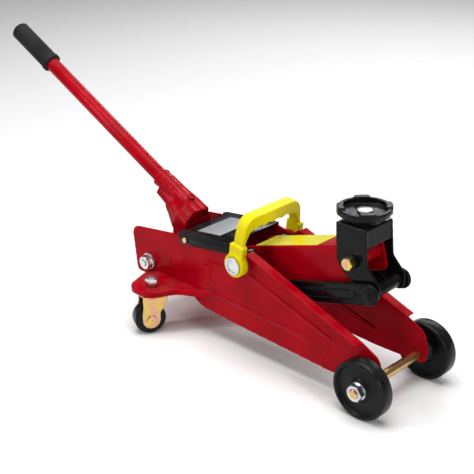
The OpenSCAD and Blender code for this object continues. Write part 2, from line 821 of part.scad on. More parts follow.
// Link bar with a pressed rib and a thick eye at each end
module link() {
    r = link_h / 2;
    eye = pin_d + 14;
    color(black) on_link() difference() {
        union() {
            panel(rounded([[-r - 1, -r, r - 0.1], [arm_length + r + 1, -r, r - 0.1],
                [arm_length + r + 1, r, r - 0.1], [-r - 1, r, r - 0.1]]), link_in, link_out);
            panel(rounded([[eye / 2 + 6, -5, 4.9], [arm_length - eye / 2 - 6, -5, 4.9],
                [arm_length - eye / 2 - 6, 5, 4.9], [eye / 2 + 6, 5, 4.9]]),
                link_out - 0.5, eye_out);
            for (x = [0, arm_length]) translate([x, 0, 0])
                tube_y(eye, pin_d, link_out - 0.5, eye_out);
        }
        for (x = [0, arm_length]) translate([x, 0, 0]) rod_y(pin_d + 2 * fit, 4 * link_out);
    }
}

module link_right() { link(); }
module link_left() { mirror([0, 1, 0]) link(); }

// Stepped studs welded inside the side plates, on which the links' rear eyes turn
module link_studs() {
    color(black) translate([stud_x, 0, stud_z]) both_sides() {
        translate([0, -eye_out - slide_gap, 0]) rotate([90, 0, 0])
            cylinder(d = pin_d + 8, h = plate_in - eye_out - slide_gap);
        translate([0, -link_in + 2.5, 0]) rotate([90, 0, 0])
            cylinder(d = pin_d, h = plate_in - link_in + 1);
    }
}

module rear_circlips() {
    color(black) translate([stud_x, 0, stud_z]) both_sides()
        circlip(link_in - circlip_t - slide_gap);
}

// ---------------------------------------------------------------- saddle bracket

module at_bolt() { translate([bolt_x, 0, bolt_z]) children(); }
module at_link_pin() { translate([link_pin_x, 0, link_pin_z]) children(); }

// Inverted channel that stays level, with a bent-down apron in front
module saddle_bracket() {
    out = bracket_w / 2;
    ear = 11;
    length = bracket_front - bracket_back;
    side = rounded([
        [bracket_back, bracket_h, 2], [bracket_front, bracket_h, 2],
        [bracket_front + 3, -1, 10], [link_ahead + ear, ear - link_below, 9],
        [link_ahead + ear - 1, -link_below - ear, ear - 1],
        [link_ahead - ear + 2, -link_below - ear, ear - 1],
        [-3.5, -23, 12], [-15, -15.5, 8], [bracket_back + 1.5, -3, 8]]);
    color(black) at_bolt() difference() {
        union() {
            both_sides() panel(side, out - bracket_t, out);
            translate([bracket_back, -out + 1, bracket_h - bracket_t])
                cube([length, 2 * out - 2, bracket_t]);
            translate([bracket_front - bracket_t, -out + 1, bracket_h - 24.5])
                cube([bracket_t, 2 * out - 2, 24.5]);
        }
        rod_y(pin_d + 2 * fit, 4 * out);
        translate([link_ahead, 0, -link_below]) rod_y(pin_d + 2 * fit, 4 * out);
        translate([saddle_x - bolt_x, 0, 0])
            cylinder(d = saddle_pin_d + 2 * fit, h = 2 * bracket_h);
    }
}

bolt_washer_t = 4;
bolt_head_t = 7;

module arm_bolt() {
    head_y = bracket_w / 2 + bolt_washer_t;
    color(gold) at_bolt() {
        nut_y(pin_d + 4, bolt_head_t, 1, head_y);
        translate([0, -head_y - 1, 0]) rotate([-90, 0, 0]) cylinder(d = pin_d, h = 2 * head_y + 10);
    }
}

module arm_bolt_washers() {
    color(black) at_bolt() both_sides()
        tube_y(pin_d + 7, pin_d + 2 * fit, bracket_w / 2, bracket_w / 2 + bolt_washer_t);
}

module arm_bolt_nut() {
    color(gold) at_bolt() mirror([0, 1, 0])
        nut_y(pin_d + 4, 6, pin_d + 2 * fit, bracket_w / 2 + bolt_washer_t);
}

module link_pin() {
    color(black) at_link_pin() rod_y(pin_d, 2 * (eye_out + 2.5));
}

module spacer_tube() {
    color(black) at_link_pin() difference() {
        rod_y(pin_d + 5, bracket_w - 2 * bracket_t);
        rod_y(pin_d + 2 * fit, bracket_w);
    }
}

module front_circlips() {
    color(black) at_link_pin() both_sides() circlip(eye_out + slide_gap);
}

// ---------------------------------------------------------------- saddle

cup_floor = 10;
saddle_head_t = 2.5;

module at_saddle() { translate([saddle_x, 0, saddle_z]) children(); }

// Turned cup with four lugs standing on its rim
module saddle_cup() {
    rim_r = saddle_d / 2;
    rim_z = saddle_h - 2;
    wall = 5;
    color(black) at_saddle() difference() {
        union() {
            rotate_extrude($fn = 96) polygon([
                [saddle_pin_d / 2 - 1, 0], [21, 0], [22, 4], [rim_r - 1.5, 8],
                [rim_r - 1.5, 10.5], [rim_r, 11.5], [rim_r, rim_z - 1], [rim_r - 1, rim_z],
                [rim_r - wall, rim_z], [rim_r - wall, cup_floor], [saddle_pin_d / 2 - 1, cup_floor]]);
            for (turn = [45:90:315]) rotate([0, 0, turn]) intersection() {
                difference() {
                    cylinder(r = rim_r, h = saddle_h);
                    translate([0, 0, cup_floor - 1]) cylinder(r = rim_r - wall - 3, h = saddle_h);
                }
                translate([rim_r - wall - 4, -9, cup_floor - 1]) cube([wall + 6, 18, saddle_h]);
            }
        }
        translate([0, 0, -1]) cylinder(d = saddle_pin_d + 2 * fit, h = cup_floor + 2);
    }
}

// Headed pin riveted through the bracket's top
module saddle_pin() {
    foot = bracket_t + slide_gap;
    color(zinc) at_saddle() {
        translate([0, 0, -foot - 2.5]) cylinder(d = saddle_pin_d, h = cup_floor + foot + 3);
        translate([0, 0, cup_floor + slide_gap])
            cylinder(d = saddle_pin_d + 6, h = saddle_head_t);
        translate([0, 0, -foot - 3]) cylinder(d = saddle_pin_d + 6, h = 3);
    }
}

// ---------------------------------------------------------------- handle and socket

module on_pivot() {
    translate([pivot_x, 0, pivot_z]) rotate([0, handle_angle, 0]) children();
}

socket_front = 1;
socket_od = handle_d + 2 * socket_wall + 0.6;
socket_ear_in = 22;
socket_ear_out = 24.5;
// Place of the cam pin in the socket's own frame, whose -X runs up the handle
cam_at = [-cam_back * cos(handle_angle) + cam_drop * sin(handle_angle),
    -cam_back * sin(handle_angle) - cam_drop * cos(handle_angle)];

// Stamped socket: a tube for the handle between two ears that swing on the pivot pin
module handle_socket() {
    ear = rounded([
        [-58, socket_rise + 2, 2], [-45, 11, 6], [-15, 5, 3], [cam_at.x - 8.5, cam_at.y, 5],
        [cam_at.x, cam_at.y - 9, 6], [3, -13, 9], [11.5, -6, 8], [11, 6, 5],
        [0, socket_rise + 2, 1]]);
    color(red) on_pivot() difference() {
        union() {
            translate([0, 0, socket_rise]) rod_x(socket_od, socket_front - socket_length, socket_front);
            both_sides() panel(ear, socket_ear_in, socket_ear_out);
            translate([-58, -socket_ear_out, socket_rise - 1])
                cube([58, 2 * socket_ear_out, 3]);
            translate([-4, -socket_ear_out + 1, socket_rise - socket_od / 2 - 7])
                cube([3, 2 * socket_ear_out - 2, 8.5]);
            for (side = [-1, 1])
                translate([-socket_length + 8, side * 7 - 2, socket_rise + socket_od / 2 - 3.5])
                    cube([socket_length - 14, 4, 3.5]);
        }
        translate([0, 0, socket_rise]) {
            rod_x(handle_d + 0.6, -socket_length, socket_front - 3);
            rod_x(handle_d - 5, -10, socket_front + 1);
        }
        translate([-22, 0, socket_rise]) cylinder(d = 6 + 2 * fit, h = socket_od);
        rod_y(pin_d + 2 * fit, 4 * socket_ear_out);
        translate([cam_at.x, 0, cam_at.y]) rod_y(cam_d + 2 * fit, 4 * socket_ear_out);
    }
}

module socket_pivot_pin() {
    color(zinc) translate([pivot_x, 0, pivot_z]) {
        rod_y(pin_d, 2 * (socket_ear_out + 2));
        both_sides() tube_y(pin_d + 5, 2, socket_ear_out + slide_gap, socket_ear_out + 2.5);
    }
}

module socket_cam_pin() {
    color(zinc) on_pivot() translate([cam_at.x, 0, cam_at.y]) rod_y(cam_d, 2 * socket_ear_out + 2);
}

module socket_bolt() {
    top = socket_rise + socket_od / 2;
    color(zinc) on_pivot() translate([-22, 0, 0]) {
        translate([0, 0, socket_rise + handle_d / 2 + 0.25])
            cylinder(d = 6, h = socket_od / 2 - handle_d / 2 + 2);
        translate([0, 0, top + 0.2]) nut(8, 4, 1);
    }
}

module handle_tube() {
    color(red) on_pivot() translate([0, 0, socket_rise]) difference() {
        rod_x(handle_d, -handle_reach + 3, socket_front - 3.4);
        rod_x(handle_d - 2 * handle_wall, -handle_reach + 2, socket_front);
    }
}

// Closed rubber sleeve with shallow rings
module handle_grip() {
    ring = 1;
    start = -handle_reach;
    color(black) on_pivot() translate([0, 0, socket_rise]) difference() {
        translate([start, 0, 0]) rotate([0, 90, 0]) rotate_extrude() polygon([
            [0, 0], [grip_d / 2 - 3, 0], [grip_d / 2, 3], [grip_d / 2, grip_length - 8],
            [grip_d / 2 + ring, grip_length - 7], [grip_d / 2 + ring, grip_length - 2],
            [grip_d / 2 - 1, grip_length], [0, grip_length]]);
        rod_x(handle_d + 2 * fit, start + 2.9, start + grip_length + 1);
    }
}

// ---------------------------------------------------------------- carrying handle

// Moulded bail: its front outline gives the bar with finger grooves, its side outline the legs,
// and each leg ends in a boss that stands out around the lift shaft
module carry_handle() {
    bar_h = 17;
    leg_w = 16;
    bar_top = carry_r + bar_h / 2;
    bar_low = carry_r - bar_h / 2;
    shoulder = 11;
    groove = 1.6;
    front = rounded([
        [carry_out, -10, 0], [carry_out, 34, 24], [carry_out - 5, bar_top, 17],
        [5 - carry_out, bar_top, 17], [-carry_out, 34, 24], [-carry_out, -10, 0],
        [-carry_in, -10, 0], [-carry_in, 32, 14], [7 - carry_in, bar_low, 10],
        [carry_in - 7, bar_low, 10], [carry_in, 32, 14], [carry_in, -10, 0]]);
    color(yellow) at_shaft() rotate([0, carry_lean, 0]) difference() {
        union() {
            intersection() {
                rotate([90, 0, 90]) linear_extrude(40, center = true) polygon(front);
                rotate([90, 0, 0]) linear_extrude(3 * carry_out, center = true) {
                    circle(r = carry_boss_r - 2);
                    translate([-leg_w / 2, 0]) square([leg_w, bar_top + 1]);
                }
            }
            both_sides() {
                tube_y(2 * carry_boss_r, shaft_d, carry_in, carry_boss_out);
                panel([[-shoulder, 6], [shoulder, 6], [shoulder, 27], [-shoulder, 27]],
                    carry_in, carry_boss_out - 2);
            }
        }
        rod_y(shaft_d + 2 * fit, 4 * carry_out);
        for (y = [-24:16:24]) translate([0, y, bar_low - 8 + groove])
            rotate([0, 90, 0]) cylinder(r = 8, h = 40, center = true);
    }
}

// ---------------------------------------------------------------- the nodes

side_plate_right();
side_plate_left();
front_axle();
axle_washers();
axle_nuts();
front_wheel_right();
front_wheel_left();
lift_shaft();
shaft_spacers();
shaft_nuts();
rear_tie_rod();
tie_rod_nuts();
cover_plate();
cover_label();
cover_screws();
pump_block();
cylinder_tube();
reservoir_tube();
gland_nut();
filler_plug();
valve_plugs();
socket_pivot_pin();
link_studs();
rear_circlips();
caster_bolts();
caster_races();
caster_nuts();
caster_fork_right();
caster_fork_left();
caster_axle_right();
caster_axle_left();
caster_wheel_right();
caster_wheel_left();
lift_arm();
arm_sleeves();
thrust_pin();
arm_sticker();
link_right();
link_left();
saddle_bracket();
arm_bolt();
arm_bolt_washers();
arm_bolt_nut();
link_pin();
spacer_tube();
front_circlips();
saddle_pin();
saddle_cup();
ram();
piston_seal();
pump_plunger();
plunger_spring();
release_valve();
handle_socket();
socket_cam_pin();
socket_bolt();
handle_tube();
handle_grip();
carry_handle();
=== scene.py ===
# %% [markdown]
# # A hydraulic trolley jack
#
# The working parts of this jack, with their sizes, bores and joints, are already made, and come in as
# a fixed frame. What is left for Blender is everything that the eye and the hand notice: pressed
# steel with soft bends, cast iron with its grain, moulded plastic, plated fasteners and their threads.
#
# The cells below make the light and the finishes first, and then the pieces, kind by kind. A piece is
# placed by measuring the frame, so that it always meets its neighbours.

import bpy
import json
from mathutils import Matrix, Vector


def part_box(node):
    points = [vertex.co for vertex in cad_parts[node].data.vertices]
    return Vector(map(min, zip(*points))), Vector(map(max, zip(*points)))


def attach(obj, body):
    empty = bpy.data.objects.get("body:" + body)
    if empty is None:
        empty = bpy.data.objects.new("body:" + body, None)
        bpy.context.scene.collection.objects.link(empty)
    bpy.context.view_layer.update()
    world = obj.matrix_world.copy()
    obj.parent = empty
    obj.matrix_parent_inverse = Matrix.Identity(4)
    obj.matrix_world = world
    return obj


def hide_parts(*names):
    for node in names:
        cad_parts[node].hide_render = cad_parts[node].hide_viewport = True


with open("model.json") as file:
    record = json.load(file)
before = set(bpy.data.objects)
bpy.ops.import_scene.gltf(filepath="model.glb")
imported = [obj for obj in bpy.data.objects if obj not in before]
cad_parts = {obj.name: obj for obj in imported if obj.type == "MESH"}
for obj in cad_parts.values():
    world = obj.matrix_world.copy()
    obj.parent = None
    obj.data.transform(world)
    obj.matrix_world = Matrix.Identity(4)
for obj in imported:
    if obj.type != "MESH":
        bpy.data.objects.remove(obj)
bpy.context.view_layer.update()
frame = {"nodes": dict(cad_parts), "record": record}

# %% [markdown]
# ## Measuring the frame
#
# Shafts and pins are the natural places to measure from, because everything on the jack turns about
# one of them. All lengths are metres, +X points to the saddle end, +Y to the left and +Z up.

# %% Tools and reference points
import json
import math

import bmesh
import bpy
from mathutils import Matrix, Vector

MM = 0.001


def middle(node):
    """Middle of the box around a node."""
    low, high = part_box(node)
    return (low + high) / 2


def half_width(node):
    """Distance from the middle plane to the outer side of a node."""
    low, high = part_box(node)
    return max(abs(low.y), abs(high.y))


axle = middle("front_axle")
shaft = middle("lift_shaft")
tie_rod = middle("rear_tie_rod")
pivot = middle("socket_pivot_pin")
saddle = middle("saddle_pin")
print("axle", axle, "shaft", shaft, "pivot", pivot, "saddle", saddle)

# %% [markdown]
# ## Camera, floor and light
#
# A tool shows best on white sweep paper, seen from a little above and through a long lens, so that
# the near wheel isn't swollen and parallel lines stay almost parallel. The camera is placed by
# turning about a target inside the jack.

# %% Camera
def look_from(target, azimuth, elevation, roll, distance):
    """Camera matrix that looks at target from a compass direction, with a slight roll."""
    back = Vector((math.sin(azimuth) * math.cos(elevation),
                   -math.cos(azimuth) * math.cos(elevation), math.sin(elevation)))
    right = (-back).cross(Vector((0, 0, 1))).normalized()
    up = right.cross(-back)
    turned_right = math.cos(roll) * right + math.sin(roll) * up
    turned_up = math.cos(roll) * up - math.sin(roll) * right
    matrix = Matrix((turned_right, turned_up, back)).transposed().to_4x4()
    matrix.translation = target + back * distance
    return matrix


TARGET = Vector((84.56, 0, 138.8)) * MM
DISTANCE = 1489.4 * MM
AZIMUTH, ELEVATION, ROLL = (math.radians(angle) for angle in (44.034, 23.415, -1.083))

camera_data = bpy.data.cameras.new("Camera")
camera_data.lens = 88.63
camera_data.sensor_width = 36
camera_data.shift_x = -0.0135
camera_data.shift_y = -0.0064
camera = bpy.data.objects.new("Camera", camera_data)
camera.matrix_world = look_from(TARGET, AZIMUTH, ELEVATION, ROLL, DISTANCE)
bpy.context.scene.collection.objects.link(camera)
bpy.context.scene.camera = camera
print("camera at", camera.matrix_world.translation)

# %% [markdown]
# Glossy paint shows what is around it more than its own colour. Four lamps give the even light and
# the narrow streaks of a studio: a broad one overhead, a tall narrow one on each side of the camera,
# whose reflections run along the rounded edges, and a wide shallow one behind that outlines the
# black parts.

# %% Floor and lamps
FLOOR_SIZE = 8


def lamp(name, place, target, width, height, watts):
    """Rectangular lamp at place that faces target."""
    data = bpy.data.lights.new(name, "AREA")
    data.shape = "RECTANGLE"
    data.size = width
    data.size_y = height
    data.energy = watts
    light = bpy.data.objects.new(name, data)
    light.location = place
    light.rotation_euler = (Vector(target) - Vector(place)).to_track_quat("-Z", "Y").to_euler()
    bpy.context.scene.collection.objects.link(light)


bpy.ops.object.select_all(action="DESELECT")
bpy.ops.mesh.primitive_plane_add(size=FLOOR_SIZE, location=(0, 0, 0))
floor = bpy.context.object
floor.name = "studio_floor"

lamp("overhead", (0.1, -0.1, 1.9), (0.1, 0, 0), 1.7, 1.3, 38)
lamp("camera_left", (-0.9, -1.6, 1.1), (0.05, 0, 0.12), 0.16, 1.4, 16)
lamp("camera_right", (1.9, -0.4, 0.8), (0.15, 0, 0.12), 0.18, 1.0, 11)
lamp("behind", (-0.5, 1.7, 1.2), (0.1, 0, 0.15), 1.4, 0.3, 14)

world = bpy.data.worlds.new("studio")
world.use_nodes = True
world.node_tree.nodes["Background"].inputs["Color"].default_value = (1, 1, 1, 1)
world.node_tree.nodes["Background"].inputs["Strength"].default_value = 0.16
bpy.context.scene.world = world
bpy.context.scene.view_settings.view_transform = "Standard"

# %% [markdown]
# ## Finishes
#
# Real surfaces are never one flat colour. Four effects come back in every finish, so each is a node
# group with its own inputs: fine relief such as casting grain or the orange peel of enamel, a slow
# drift of colour, edges made lighter, partly as wear from handling and partly as a painted highlight,
# and a little dust lying on upper faces. The shader itself stays in the material, where its gloss can
# be set directly.

# %% Small tools for building node groups
def start_group(name, inputs, outputs):
    """Empty shader group with named sockets; inputs are (name, kind, default value)."""
    group = bpy.data.node_groups.new(name, "ShaderNodeTree")
    for label, kind, value in inputs:
        socket = group.interface.new_socket(label, in_out="INPUT", socket_type="NodeSocket" + kind)
        socket.default_value = value
    for label, kind in outputs:
        group.interface.new_socket(label, in_out="OUTPUT", socket_type="NodeSocket" + kind)
    return group, group.nodes.new("NodeGroupInput"), group.nodes.new("NodeGroupOutput")


def add_node(tree, kind, **settings):
    """Shader node of a kind, with its settings."""
    node = tree.nodes.new("ShaderNode" + kind)
    for key, value in settings.items():
        setattr(node, key, value)
    return node


def noise(tree, scale, detail=2.0):
    """Noise on Object coordinates, whose scale is a socket or a number."""
    place = add_node(tree, "TexCoord")
    pattern = add_node(tree, "TexNoise")
    tree.links.new(place.outputs["Object"], pattern.inputs["Vector"])
    if isinstance(scale, bpy.types.NodeSocket):
        tree.links.new(scale, pattern.inputs["Scale"])
    else:
        pattern.inputs["Scale"].default_value = scale
    pattern.inputs["Detail"].default_value = detail
    return pattern.outputs["Fac"]


def between(tree, value, low, high):
    """Stretches a value so that low becomes 0 and high becomes 1."""
    node = add_node(tree, "MapRange")
    tree.links.new(value, node.inputs["Value"])
    node.inputs["From Min"].default_value = low
    node.inputs["From Max"].default_value = high
    return node.outputs["Result"]


def multiply(tree, one, other):
    """Product of two values."""
    node = add_node(tree, "Math", operation="MULTIPLY")
    tree.links.new(one, node.inputs[0])
    tree.links.new(other, node.inputs[1])
    return node.outputs["Value"]


def mix_colours(tree, factor, first, second):
    """Colour between first, where the factor is 0, and second, where it is 1."""
    node = add_node(tree, "Mix", data_type="RGBA")
    tree.links.new(factor, node.inputs["Factor"])
    tree.links.new(first, node.inputs["A"])
    tree.links.new(second, node.inputs["B"])
    return node.outputs["Result"]


print("node tools ready")

# %% [markdown]
# Enamel dries with a faint orange peel, and a casting keeps the grain of its mould. Moving the mesh
# to show them would take millions of faces, so relief is noise read as height and only tilts the
# normal. Drift blends two close colours over a few centimetres, as one dip of paint or zinc never
# comes out quite even.

# %% Relief and colour drift
def relief_group():
    """Fine unevenness of the skin, as a normal."""
    group, start, end = start_group(
        "Relief", [("Scale", "Float", 1000), ("Depth", "Float", 0.0001)], [("Normal", "Vector")])
    bump = add_node(group, "Bump")
    group.links.new(noise(group, start.outputs["Scale"], 3), bump.inputs["Height"])
    group.links.new(start.outputs["Depth"], bump.inputs["Distance"])
    group.links.new(bump.outputs["Normal"], end.inputs["Normal"])
    return group


def drift_group():
    """Slow change between two colours."""
    group, start, end = start_group(
        "Colour drift", [("Colour", "Color", (1, 1, 1, 1)), ("Drift", "Color", (1, 1, 1, 1)),
                         ("Scale", "Float", 20)], [("Colour", "Color")])
    amount = between(group, noise(group, start.outputs["Scale"]), 0.35, 0.65)
    colour = mix_colours(group, amount, start.outputs["Colour"], start.outputs["Drift"])
    group.links.new(colour, end.inputs["Colour"])
    return group


GROUPS = {"relief": relief_group(), "drift": drift_group()}
print("groups", list(GROUPS))

# %% [markdown]
# Paint and plating are thinnest on the edges and are rubbed there first. The lighter edge also stands
# in for the highlight that edges catch, so it is partly wear and partly a painted highlight. The wear
# could be painted by hand on each piece, but it would have to be painted again after every change of
# shape. Here an edge is found where a normal rounded over a small radius turns away from the true one,
# and noise breaks the line up so that it isn't drawn evenly.

# %% Lighter edges: wear and painted highlight
EDGE_WEAR_AND_HIGHLIGHT_RADIUS = 0.8 * MM


def edge_wear_and_highlight_group():
    """Lighter colour along edges, partly wear and partly a painted highlight, and the mask that shows
    where.
    """
    group, start, end = start_group(
        "Edge wear and painted highlight", [("Colour", "Color", (1, 1, 1, 1)), ("Edge wear and highlight colour", "Color", (1, 1, 1, 1)),
                     ("Amount", "Float", 0.5)], [("Colour", "Color"), ("Mask", "Float")])
    soft = add_node(group, "Bevel", samples=3)
    soft.inputs["Radius"].default_value = EDGE_WEAR_AND_HIGHLIGHT_RADIUS
    true = add_node(group, "NewGeometry")
    dot = add_node(group, "VectorMath", operation="DOT_PRODUCT")
    group.links.new(soft.outputs["Normal"], dot.inputs[0])
    group.links.new(true.outputs["Normal"], dot.inputs[1])
    edge = between(group, dot.outputs["Value"], 0.97, 0.8)
    broken = between(group, noise(group, 260), 0.45, 0.6)
    mask = multiply(group, multiply(group, edge, broken), start.outputs["Amount"])
    # The edges are lightened here, partly as wear and partly as a painted highlight.
    colour = mix_colours(group, mask, start.outputs["Colour"], start.outputs["Edge wear and highlight colour"])
    group.links.new(colour, end.inputs["Colour"])
    group.links.new(mask, end.inputs["Mask"])
    return group


GROUPS["edge_wear_and_highlight"] = edge_wear_and_highlight_group()
print("edges found within", EDGE_WEAR_AND_HIGHLIGHT_RADIUS, "m")

# %% [markdown]
# Dust settles only on faces that look up, in patches. A layer of loose grains would be too heavy, so
# dust is a mask made from the direction of the face and from noise. It hides some of the colour and
# dulls the gloss, so the group gives back both.

# %% Dust
def dust_group():
    """Thin dust on upper faces, as a colour and a roughness."""
    group, start, end = start_group(
        "Dust", [("Colour", "Color", (1, 1, 1, 1)), ("Dust", "Color", (0.4, 0.38, 0.35, 1)),
                 ("Amount", "Float", 0.1), ("Roughness", "Float", 0.3)],
        [("Colour", "Color"), ("Roughness", "Float")])
    facing = add_node(group, "NewGeometry")
    parts = add_node(group, "SeparateXYZ")
    group.links.new(facing.outputs["Normal"], parts.inputs["Vector"])
    upward = between(group, parts.outputs["Z"], 0.4, 1)
    patchy = between(group, noise(group, 45, 6), 0.4, 0.7)
    mask = multiply(group, multiply(group, upward, patchy), start.outputs["Amount"])
    colour = mix_colours(group, mask, start.outputs["Colour"], start.outputs["Dust"])
    group.links.new(colour, end.inputs["Colour"])
    duller = add_node(group, "Math", operation="ADD")
    group.links.new(mask, duller.inputs[0])
    group.links.new(start.outputs["Roughness"], duller.inputs[1])
    group.links.new(duller.outputs["Value"], end.inputs["Roughness"])
    return group


GROUPS["dust"] = dust_group()
print("groups", list(GROUPS))

# %% [markdown]
# A finish joins the four effects in one order: drift, then the lighter edges of wear and painted
# highlight, then dust, with the relief on the normal. Only the values differ from one finish to the
# next, so one function builds them all.

# %% One function for every finish
def finish(name, colour, drift, edge_wear_and_highlight_colour, roughness, relief, drift_scale=25, edge_wear_and_highlight=0.3, dust=0.05,
           metallic=0.0, coat=0.0, specular=0.5):
    """Material with all four effects; relief is (scale per metre, depth in metres)."""
    material = bpy.data.materials.new(name)
    material.use_nodes = True
    tree = material.node_tree
    shader = tree.nodes["Principled BSDF"]
    steps = {}
    for key, group in GROUPS.items():
        steps[key] = add_node(tree, "Group", node_tree=group)
    steps["drift"].inputs["Colour"].default_value = (*colour, 1)
    steps["drift"].inputs["Drift"].default_value = (*drift, 1)
    steps["drift"].inputs["Scale"].default_value = drift_scale
    steps["edge_wear_and_highlight"].inputs["Edge wear and highlight colour"].default_value = (*edge_wear_and_highlight_colour, 1)
    steps["edge_wear_and_highlight"].inputs["Amount"].default_value = edge_wear_and_highlight
    steps["dust"].inputs["Amount"].default_value = dust
    steps["dust"].inputs["Roughness"].default_value = roughness
    steps["relief"].inputs["Scale"].default_value = relief[0]
    steps["relief"].inputs["Depth"].default_value = relief[1]
    tree.links.new(steps["drift"].outputs["Colour"], steps["edge_wear_and_highlight"].inputs["Colour"])
    tree.links.new(steps["edge_wear_and_highlight"].outputs["Colour"], steps["dust"].inputs["Colour"])
    tree.links.new(steps["dust"].outputs["Colour"], shader.inputs["Base Color"])
    tree.links.new(steps["dust"].outputs["Roughness"], shader.inputs["Roughness"])
    tree.links.new(steps["relief"].outputs["Normal"], shader.inputs["Normal"])
    shader.inputs["Metallic"].default_value = metallic
    shader.inputs["Coat Weight"].default_value = coat
    shader.inputs["Coat Roughness"].default_value = 0.06
    shader.inputs["Specular IOR Level"].default_value = specular
    return material


print("each finish uses", len(GROUPS), "groups")

# %% [markdown]
# Red enamel covers the side plates, the arm, the socket, the handle's tube and the pump block. Black
# enamel covers the cover plate, the links and the saddle's bracket. The gloss of both is kept low,
# so that the white floor doesn't wash out their colour. The front wheels and the saddle are painted
# castings with a finer and deeper grain.

# %% Enamel and painted castings
FINISHES = {
    # On the red and black enamels and the castings, the light edge colours and strong edge amounts are
    # partly wear and partly a painted highlight along the edges.
    "red_enamel": finish(
        "red_enamel", (0.40, 0.0005, 0.008), (0.30, 0.0005, 0.006), (0.72, 0.05, 0.05), 0.2,
        (90, 0.0002), edge_wear_and_highlight=0.8, specular=0.05),
    "black_enamel": finish(
        "black_enamel", (0.003, 0.003, 0.004), (0.006, 0.006, 0.007), (0.16, 0.16, 0.17), 0.16,
        (110, 0.0003), edge_wear_and_highlight=0.6, specular=0.12),
    "black_cast": finish(
        "black_cast", (0.004, 0.004, 0.005), (0.008, 0.008, 0.008), (0.14, 0.14, 0.14), 0.24,
        (600, 0.0004), edge_wear_and_highlight=0.6, specular=0.14),
}
print("painted", list(FINISHES))

# %% [markdown]
# Shafts, pins and fasteners are zinc plated against rust. Bright zinc is a cool silver. Yellow zinc
# is passivated, and drifts quickly between straw and rose. A picture wrapped around them would show
# a seam, so both colours are blended in space by the drift group.

# %% Plated metal
FINISHES |= {
    "yellow_zinc": finish(
        "yellow_zinc", (0.70, 0.52, 0.10), (0.66, 0.36, 0.27), (0.80, 0.78, 0.70), 0.3,
        (700, 0.00006), drift_scale=110, metallic=1.0),
    "bright_zinc": finish(
        "bright_zinc", (0.68, 0.69, 0.69), (0.52, 0.54, 0.56), (0.85, 0.85, 0.85), 0.28,
        (600, 0.00006), drift_scale=90, metallic=1.0),
}
print("plated", list(FINISHES)[3:])

# %% [markdown]
# The casters' wheels are nylon, the carrying handle is a yellow moulding, and the grip is rubber with
# hardly any gloss. The sticker is a thin film, the only finish with a clear coat, and the label is a
# dull foil. The floor is paper, which has no dust.

# %% Plastic, rubber, film, foil and paper
FINISHES |= {
    "black_nylon": finish(
        "black_nylon", (0.005, 0.005, 0.006), (0.008, 0.008, 0.009), (0.05, 0.05, 0.05), 0.22,
        (1400, 0.00008), dust=0.02, specular=0.14),
    "yellow_plastic": finish(
        "yellow_plastic", (0.76, 0.66, 0.001), (0.70, 0.58, 0.001), (0.88, 0.82, 0.1), 0.4,
        (1300, 0.00006), specular=0.12),
    "yellow_film": finish(
        "yellow_film", (0.78, 0.70, 0.01), (0.72, 0.64, 0.01), (0.85, 0.8, 0.3), 0.25,
        (160, 0.0001), coat=0.3),
    "label_foil": finish(
        "label_foil", (0.36, 0.38, 0.40), (0.31, 0.33, 0.35), (0.6, 0.6, 0.6), 0.4,
        (500, 0.00003), metallic=0.3),
    "black_rubber": finish(
        "black_rubber", (0.010, 0.010, 0.011), (0.015, 0.015, 0.015), (0.04, 0.04, 0.04), 0.6,
        (1500, 0.00012), dust=0.04, specular=0.1),
}
paper = finish("studio_paper", (0.86, 0.86, 0.86), (0.85, 0.85, 0.85), (0.86, 0.86, 0.86), 0.85,
               (60, 0.00005), dust=0.0)
floor.data.materials.append(paper)
print("finishes", sorted(FINISHES))

# %% [markdown]
# ## Which finish each CAD piece wears
#
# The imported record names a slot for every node, so the frame itself says what is zinc and what is
# enamel. Each CAD piece starts with the finish of its slot.

# %% Read the slots
NODE_SLOTS = {part["node"]: part["material_slot"] for part in frame["record"]["subparts"]}
NODE_BODIES = {node: body for body, nodes in frame["record"]["behaviour"]["bodies"].items()
               for node in nodes}
for node, shape in frame["nodes"].items():
    for entry in shape.material_slots:
        entry.material = FINISHES[NODE_SLOTS[node]]
print(len(NODE_SLOTS), "nodes have a finish")

# %% [markdown]
# ## Ways of working the metal
#
# Fasteners keep crisp faces and get a narrow chamfer on each edge. Pressed, cast and moulded parts
# have no sharp edge or inner corner anywhere. A bevel soon breaks down where several curved faces
# meet in an inner corner, so these parts are rebuilt as an even skin and relaxed until every corner
# is a soft fillet.

# %% Helpers to select, copy and finish
WELD_DISTANCE = 0.005 * MM
FLAT_ANGLE = math.radians(0.5)
EDGE_ANGLE = math.radians(35)
CHAMFER_WIDTH = 0.35 * MM


def take(piece):
    """Makes one piece the only selected and active object."""
    bpy.ops.object.select_all(action="DESELECT")
    piece.select_set(True)
    bpy.context.view_layer.objects.active = piece


def apply_modifier(piece, kind, **settings):
    """Adds a modifier with its settings and makes its result real."""
    take(piece)
    modifier = piece.modifiers.new(kind.title(), kind)
    for key, value in settings.items():
        setattr(modifier, key, value)
    bpy.ops.object.modifier_apply(modifier=modifier.name)


def weld(piece):
    """Joins loose triangles into clean flat faces."""
    take(piece)
    bpy.ops.object.mode_set(mode="EDIT")
    bpy.ops.mesh.select_all(action="SELECT")
    bpy.ops.mesh.remove_doubles(threshold=WELD_DISTANCE)
    bpy.ops.mesh.dissolve_limited(angle_limit=FLAT_ANGLE)
    bpy.ops.object.mode_set(mode="OBJECT")


def copy_of(node):
    """Welded copy of a CAD node, free to be worked on."""
    piece = bpy.data.objects.new(node + "_finished", frame["nodes"][node].data.copy())
    bpy.context.scene.collection.objects.link(piece)
    weld(piece)
    return piece


def chamfer(piece):
    """Narrow rounded chamfer on every edge that is clearly an edge."""
    apply_modifier(piece, "BEVEL", width=CHAMFER_WIDTH, segments=2, limit_method="ANGLE",
                   angle_limit=EDGE_ANGLE, use_clamp_overlap=True)


